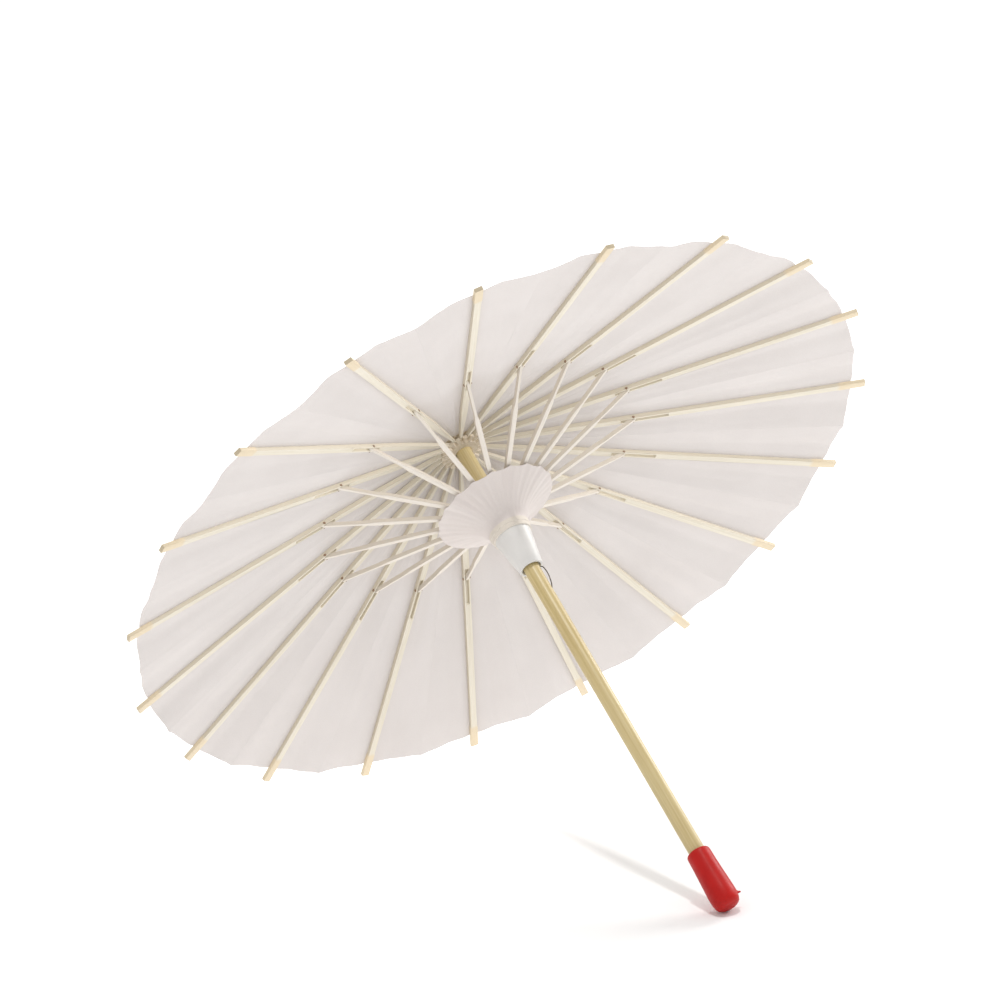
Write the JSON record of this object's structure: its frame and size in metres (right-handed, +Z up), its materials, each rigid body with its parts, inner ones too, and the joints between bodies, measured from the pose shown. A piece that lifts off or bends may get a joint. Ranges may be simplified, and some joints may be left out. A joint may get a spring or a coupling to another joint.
{
  "type": "oil paper umbrella",
  "caption": "Small decorative oil paper parasol with bamboo ribs and stretchers, sliding runner, wire catch and red handle cap, lying open on its rim",
  "frame": {"origin": "middle of the box's bottom, on the floor that the open umbrella lies on", "axes": "+Z up, +Y the level direction from the handle cap to the canopy, +X across the umbrella"},
  "size_m": [0.4006, 0.309, 0.3074],
  "materials": {
    "rib_bamboo": "split bamboo, satin",
    "bamboo_shaft": "planed bamboo dowel, clear coat",
    "pale_wood": "turned pale wood, matt",
    "red_lacquer": "glossy red moulded cap",
    "dark_wire": "dark annealed wire",
    "oiled_paper": "thin oiled mulberry paper"
  },
  "bodies": {
    "root": {"shaft": "bamboo_shaft", "upper_hub": "pale_wood", "hub_wire_ring": "dark_wire", "finial": "pale_wood", "handle_cap": "red_lacquer", "crown_paper": "oiled_paper", "canopy": "oiled_paper"},
    "rib_01_body": {"rib_01": "rib_bamboo"},
    "stretcher_01_body": {"stretcher_01": "rib_bamboo"},
    "rib_02_body": {"rib_02": "rib_bamboo"},
    "stretcher_02_body": {"stretcher_02": "rib_bamboo"},
    "rib_03_body": {"rib_03": "rib_bamboo"},
    "stretcher_03_body": {"stretcher_03": "rib_bamboo"},
    "rib_04_body": {"rib_04": "rib_bamboo"},
    "stretcher_04_body": {"stretcher_04": "rib_bamboo"},
    "rib_05_body": {"rib_05": "rib_bamboo"},
    "stretcher_05_body": {"stretcher_05": "rib_bamboo"},
    "rib_06_body": {"rib_06": "rib_bamboo"},
    "stretcher_06_body": {"stretcher_06": "rib_bamboo"},
    "rib_07_body": {"rib_07": "rib_bamboo"},
    "stretcher_07_body": {"stretcher_07": "rib_bamboo"},
    "rib_08_body": {"rib_08": "rib_bamboo"},
    "stretcher_08_body": {"stretcher_08": "rib_bamboo"},
    "rib_09_body": {"rib_09": "rib_bamboo"},
    "stretcher_09_body": {"stretcher_09": "rib_bamboo"},
    "rib_10_body": {"rib_10": "rib_bamboo"},
    "stretcher_10_body": {"stretcher_10": "rib_bamboo"},
    "rib_11_body": {"rib_11": "rib_bamboo"},
    "stretcher_11_body": {"stretcher_11": "rib_bamboo"},
    "rib_12_body": {"rib_12": "rib_bamboo"},
    "stretcher_12_body": {"stretcher_12": "rib_bamboo"},
    "rib_13_body": {"rib_13": "rib_bamboo"},
    "stretcher_13_body": {"stretcher_13": "rib_bamboo"},
    "rib_14_body": {"rib_14": "rib_bamboo"},
    "stretcher_14_body": {"stretcher_14": "rib_bamboo"},
    "rib_15_body": {"rib_15": "rib_bamboo"},
    "stretcher_15_body": {"stretcher_15": "rib_bamboo"},
    "rib_16_body": {"rib_16": "rib_bamboo"},
    "stretcher_16_body": {"stretcher_16": "rib_bamboo"},
    "rib_17_body": {"rib_17": "rib_bamboo"},
    "stretcher_17_body": {"stretcher_17": "rib_bamboo"},
    "rib_18_body": {"rib_18": "rib_bamboo"},
    "stretcher_18_body": {"stretcher_18": "rib_bamboo"},
    "rib_19_body": {"rib_19": "rib_bamboo"},
    "stretcher_19_body": {"stretcher_19": "rib_bamboo"},
    "runner": {"runner": "pale_wood", "runner_band": "oiled_paper", "runner_wire_ring": "dark_wire", "fan_paper": "oiled_paper"},
    "catch": {"catch_wire": "dark_wire"}
  },
  "joints": [
    {"name": "fold", "type": "hinge", "parent": "root", "child": "rib_01_body", "pos_m": [0, 0.05892, 0.19279], "axis": [1, 0, 0], "range_deg": [0, 70], "deforming": ["canopy", "fan_paper", "catch_wire"]},
    {"name": "stretcher_01_fold", "type": "hinge", "parent": "rib_01_body", "child": "stretcher_01_body", "pos_m": [0, -0.00516, 0.23709], "axis": [1, 0, 0], "range_deg": [-140, 0]},
    {"name": "rib_02_fold", "type": "hinge", "parent": "root", "child": "rib_02_body", "pos_m": [0.00325, 0.05926, 0.19237], "axis": [0.9458, 0.2083, -0.2491], "range_deg": [0, 70]},
    {"name": "stretcher_02_fold", "type": "hinge", "parent": "rib_02_body", "child": "stretcher_02_body", "pos_m": [0.02763, -0.0022, 0.23356], "axis": [0.9458, 0.2083, -0.2491], "range_deg": [-140, 0]},
    {"name": "rib_03_fold", "type": "hinge", "parent": "root", "child": "rib_03_body", "pos_m": [0.00614, 0.06027, 0.19117], "axis": [0.7891, 0.394, -0.4712], "range_deg": [0, 70]},
    {"name": "stretcher_03_fold", "type": "hinge", "parent": "rib_03_body", "child": "stretcher_03_body", "pos_m": [0.05226, 0.00635, 0.22333], "axis": [0.7891, 0.394, -0.4712], "range_deg": [-140, 0]},
    {"name": "rib_04_fold", "type": "hinge", "parent": "root", "child": "rib_04_body", "pos_m": [0.00837, 0.06182, 0.18931], "axis": [0.5469, 0.537, -0.6423], "range_deg": [0, 70]},
    {"name": "stretcher_04_fold", "type": "hinge", "parent": "rib_04_body", "child": "stretcher_04_body", "pos_m": [0.07123, 0.01957, 0.20752], "axis": [0.5469, 0.537, -0.6423], "range_deg": [-140, 0]},
    {"name": "rib_05_fold", "type": "hinge", "parent": "root", "child": "rib_05_body", "pos_m": [0.00969, 0.06376, 0.187], "axis": [0.2455, 0.6218, -0.7437], "range_deg": [0, 70]},
    {"name": "stretcher_05_fold", "type": "hinge", "parent": "rib_05_body", "child": "stretcher_05_body", "pos_m": [0.08248, 0.03602, 0.18784], "axis": [0.2455, 0.6218, -0.7437], "range_deg": [-140, 0]},
    {"name": "rib_06_fold", "type": "hinge", "parent": "root", "child": "rib_06_body", "pos_m": [0.00997, 0.06586, 0.18448], "axis": [-0.0826, 0.6392, -0.7646], "range_deg": [0, 70]},
    {"name": "stretcher_06_fold", "type": "hinge", "parent": "rib_06_body", "child": "stretcher_06_body", "pos_m": [0.0848, 0.05392, 0.16642], "axis": [-0.0826, 0.6392, -0.7646], "range_deg": [-140, 0]},
    {"name": "rib_07_fold", "type": "hinge", "parent": "root", "child": "rib_07_body", "pos_m": [0.00916, 0.06791, 0.18204], "axis": [-0.4017, 0.5874, -0.7026], "range_deg": [0, 70]},
    {"name": "stretcher_07_fold", "type": "hinge", "parent": "rib_07_body", "child": "stretcher_07_body", "pos_m": [0.07792, 0.07134, 0.14559], "axis": [-0.4017, 0.5874, -0.7026], "range_deg": [-140, 0]},
    {"name": "rib_08_fold", "type": "hinge", "parent": "root", "child": "rib_08_body", "pos_m": [0.00736, 0.06967, 0.17992], "axis": [-0.6773, 0.4719, -0.5644], "range_deg": [0, 70]},
    {"name": "stretcher_08_fold", "type": "hinge", "parent": "rib_08_body", "child": "stretcher_08_body", "pos_m": [0.0626, 0.08638, 0.1276], "axis": [-0.6773, 0.4719, -0.5644], "range_deg": [-140, 0]},
    {"name": "rib_09_fold", "type": "hinge", "parent": "root", "child": "rib_09_body", "pos_m": [0.00476, 0.07097, 0.17837], "axis": [-0.8795, 0.3053, -0.3651], "range_deg": [0, 70]},
    {"name": "stretcher_09_fold", "type": "hinge", "parent": "rib_09_body", "child": "stretcher_09_body", "pos_m": [0.0405, 0.09742, 0.1144], "axis": [-0.8795, 0.3053, -0.3651], "range_deg": [-140, 0]},
    {"name": "rib_10_fold", "type": "hinge", "parent": "root", "child": "rib_10_body", "pos_m": [0.00165, 0.07166, 0.17755], "axis": [-0.9864, 0.1056, -0.1263], "range_deg": [0, 70]},
    {"name": "stretcher_10_fold", "type": "hinge", "parent": "rib_10_body", "child": "stretcher_10_body", "pos_m": [0.01401, 0.10325, 0.10743], "axis": [-0.9864, 0.1056, -0.1263], "range_deg": [-140, 0]},
    {"name": "rib_11_fold", "type": "hinge", "parent": "root", "child": "rib_11_body", "pos_m": [-0.00165, 0.07166, 0.17755], "axis": [-0.9864, -0.1056, 0.1263], "range_deg": [0, 70]},
    {"name": "stretcher_11_fold", "type": "hinge", "parent": "rib_11_body", "child": "stretcher_11_body", "pos_m": [-0.01401, 0.10325, 0.10743], "axis": [-0.9864, -0.1056, 0.1263], "range_deg": [-140, 0]},
    {"name": "rib_12_fold", "type": "hinge", "parent": "root", "child": "rib_12_body", "pos_m": [-0.00476, 0.07097, 0.17837], "axis": [-0.8795, -0.3053, 0.3651], "range_deg": [0, 70]},
    {"name": "stretcher_12_fold", "type": "hinge", "parent": "rib_12_body", "child": "stretcher_12_body", "pos_m": [-0.0405, 0.09742, 0.1144], "axis": [-0.8795, -0.3053, 0.3651], "range_deg": [-140, 0]},
    {"name": "rib_13_fold", "type": "hinge", "parent": "root", "child": "rib_13_body", "pos_m": [-0.00736, 0.06967, 0.17992], "axis": [-0.6773, -0.4719, 0.5644], "range_deg": [0, 70]},
    {"name": "stretcher_13_fold", "type": "hinge", "parent": "rib_13_body", "child": "stretcher_13_body", "pos_m": [-0.0626, 0.08638, 0.1276], "axis": [-0.6773, -0.4719, 0.5644], "range_deg": [-140, 0]},
    {"name": "rib_14_fold", "type": "hinge", "parent": "root", "child": "rib_14_body", "pos_m": [-0.00916, 0.06791, 0.18204], "axis": [-0.4017, -0.5874, 0.7026], "range_deg": [0, 70]},
    {"name": "stretcher_14_fold", "type": "hinge", "parent": "rib_14_body", "child": "stretcher_14_body", "pos_m": [-0.07792, 0.07134, 0.14559], "axis": [-0.4017, -0.5874, 0.7026], "range_deg": [-140, 0]},
    {"name": "rib_15_fold", "type": "hinge", "parent": "root", "child": "rib_15_body", "pos_m": [-0.00997, 0.06586, 0.18448], "axis": [-0.0826, -0.6392, 0.7646], "range_deg": [0, 70]},
    {"name": "stretcher_15_fold", "type": "hinge", "parent": "rib_15_body", "child": "stretcher_15_body", "pos_m": [-0.0848, 0.05392, 0.16642], "axis": [-0.0826, -0.6392, 0.7646], "range_deg": [-140, 0]},
    {"name": "rib_16_fold", "type": "hinge", "parent": "root", "child": "rib_16_body", "pos_m": [-0.00969, 0.06376, 0.187], "axis": [0.2455, -0.6218, 0.7437], "range_deg": [0, 70]},
    {"name": "stretcher_16_fold", "type": "hinge", "parent": "rib_16_body", "child": "stretcher_16_body", "pos_m": [-0.08248, 0.03602, 0.18784], "axis": [0.2455, -0.6218, 0.7437], "range_deg": [-140, 0]},
    {"name": "rib_17_fold", "type": "hinge", "parent": "root", "child": "rib_17_body", "pos_m": [-0.00837, 0.06182, 0.18931], "axis": [0.5469, -0.537, 0.6423], "range_deg": [0, 70]},
    {"name": "stretcher_17_fold", "type": "hinge", "parent": "rib_17_body", "child": "stretcher_17_body", "pos_m": [-0.07123, 0.01957, 0.20752], "axis": [0.5469, -0.537, 0.6423], "range_deg": [-140, 0]},
    {"name": "rib_18_fold", "type": "hinge", "parent": "root", "child": "rib_18_body", "pos_m": [-0.00614, 0.06027, 0.19117], "axis": [0.7891, -0.394, 0.4712], "range_deg": [0, 70]},
    {"name": "stretcher_18_fold", "type": "hinge", "parent": "rib_18_body", "child": "stretcher_18_body", "pos_m": [-0.05226, 0.00635, 0.22333], "axis": [0.7891, -0.394, 0.4712], "range_deg": [-140, 0]},
    {"name": "rib_19_fold", "type": "hinge", "parent": "root", "child": "rib_19_body", "pos_m": [-0.00325, 0.05926, 0.19237], "axis": [0.9458, -0.2083, 0.2491], "range_deg": [0, 70]},
    {"name": "stretcher_19_fold", "type": "hinge", "parent": "rib_19_body", "child": "stretcher_19_body", "pos_m": [-0.02763, -0.0022, 0.23356], "axis": [0.9458, -0.2083, 0.2491], "range_deg": [-140, 0]},
    {"name": "runner_slide", "type": "hinge", "parent": "stretcher_01_body", "child": "runner", "pos_m": [0, 0.02709, 0.16618], "axis": [1, 0, 0], "range_deg": [0, 70]},
    {"name": "catch_press", "type": "hinge", "parent": "root", "child": "catch", "pos_m": [0.00173, -0.00781, 0.12527], "axis": [-0.5, -0.5555, 0.6644], "range_deg": [0, 12], "stiffness_Nm_per_rad": 0.02, "springref_deg": -5.73}
  ],
  "couplings": [
    {"joint": "stretcher_01_fold", "follows": "fold", "ratio": -2},
    {"joint": "rib_02_fold", "follows": "fold", "ratio": 1},
    {"joint": "stretcher_02_fold", "follows": "fold", "ratio": -2},
    {"joint": "rib_03_fold", "follows": "fold", "ratio": 1},
    {"joint": "stretcher_03_fold", "follows": "fold", "ratio": -2},
    {"joint": "rib_04_fold", "follows": "fold", "ratio": 1},
    {"joint": "stretcher_04_fold", "follows": "fold", "ratio": -2},
    {"joint": "rib_05_fold", "follows": "fold", "ratio": 1},
    {"joint": "stretcher_05_fold", "follows": "fold", "ratio": -2},
    {"joint": "rib_06_fold", "follows": "fold", "ratio": 1},
    {"joint": "stretcher_06_fold", "follows": "fold", "ratio": -2},
    {"joint": "rib_07_fold", "follows": "fold", "ratio": 1},
    {"joint": "stretcher_07_fold", "follows": "fold", "ratio": -2},
    {"joint": "rib_08_fold", "follows": "fold", "ratio": 1},
    {"joint": "stretcher_08_fold", "follows": "fold", "ratio": -2},
    {"joint": "rib_09_fold", "follows": "fold", "ratio": 1},
    {"joint": "stretcher_09_fold", "follows": "fold", "ratio": -2},
    {"joint": "rib_10_fold", "follows": "fold", "ratio": 1},
    {"joint": "stretcher_10_fold", "follows": "fold", "ratio": -2},
    {"joint": "rib_11_fold", "follows": "fold", "ratio": 1},
    {"joint": "stretcher_11_fold", "follows": "fold", "ratio": -2},
    {"joint": "rib_12_fold", "follows": "fold", "ratio": 1},
    {"joint": "stretcher_12_fold", "follows": "fold", "ratio": -2},
    {"joint": "rib_13_fold", "follows": "fold", "ratio": 1},
    {"joint": "stretcher_13_fold", "follows": "fold", "ratio": -2},
    {"joint": "rib_14_fold", "follows": "fold", "ratio": 1},
    {"joint": "stretcher_14_fold", "follows": "fold", "ratio": -2},
    {"joint": "rib_15_fold", "follows": "fold", "ratio": 1},
    {"joint": "stretcher_15_fold", "follows": "fold", "ratio": -2},
    {"joint": "rib_16_fold", "follows": "fold", "ratio": 1},
    {"joint": "stretcher_16_fold", "follows": "fold", "ratio": -2},
    {"joint": "rib_17_fold", "follows": "fold", "ratio": 1},
    {"joint": "stretcher_17_fold", "follows": "fold", "ratio": -2},
    {"joint": "rib_18_fold", "follows": "fold", "ratio": 1},
    {"joint": "stretcher_18_fold", "follows": "fold", "ratio": -2},
    {"joint": "rib_19_fold", "follows": "fold", "ratio": 1},
    {"joint": "stretcher_19_fold", "follows": "fold", "ratio": -2},
    {"joint": "runner_slide", "follows": "fold", "ratio": 1}
  ]
}
